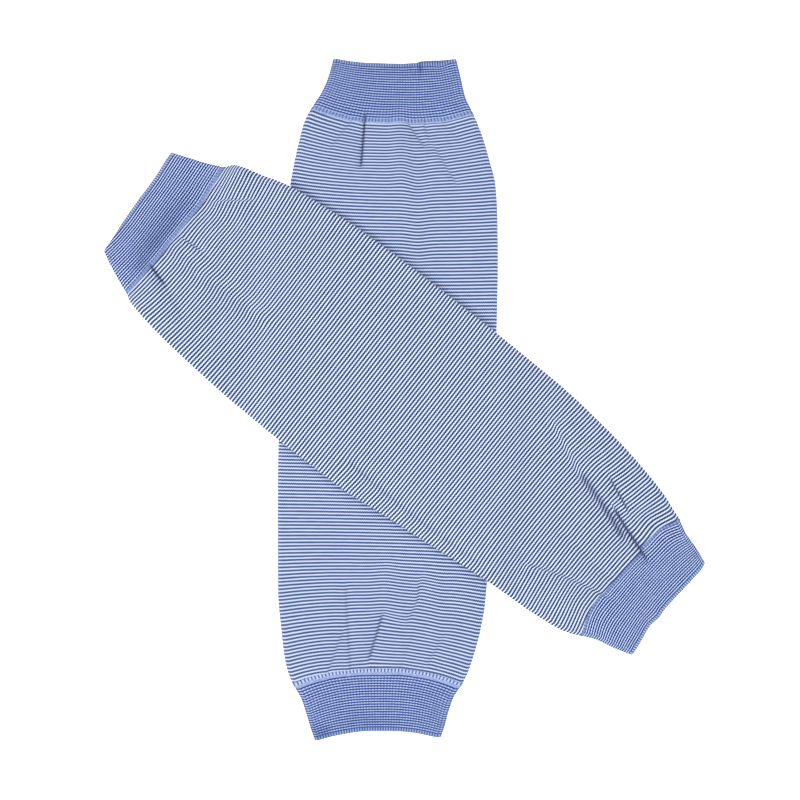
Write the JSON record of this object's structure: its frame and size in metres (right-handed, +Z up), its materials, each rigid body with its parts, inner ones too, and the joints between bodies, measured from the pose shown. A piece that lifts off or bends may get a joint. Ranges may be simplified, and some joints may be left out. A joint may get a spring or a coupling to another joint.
{
  "type": "pair of arm sleeves",
  "caption": "Tubular knitted arm sleeves in a fine stripe, eased into ribbed cuffs at each end, laid flat with one across the other.",
  "frame": {"origin": "middle of the pair's footprint, on the surface that it lies on", "axes": "+X to the right and +Y up the page as the pair is seen from above, +Z up from the surface"},
  "size_m": [0.3371, 0.3809, 0.0092],
  "materials": {
    "striped_jersey": "matt fine knit, blue and white courses by turns",
    "ribbed_knit": "matt rib knit, blue flecked with white"
  },
  "bodies": {
    "root": {"under_body": "striped_jersey", "under_cuff_top": "ribbed_knit", "under_cuff_bottom": "ribbed_knit", "over_body": "striped_jersey", "over_cuff_left": "ribbed_knit", "over_cuff_right": "ribbed_knit"}
  },
  "joints": []
}
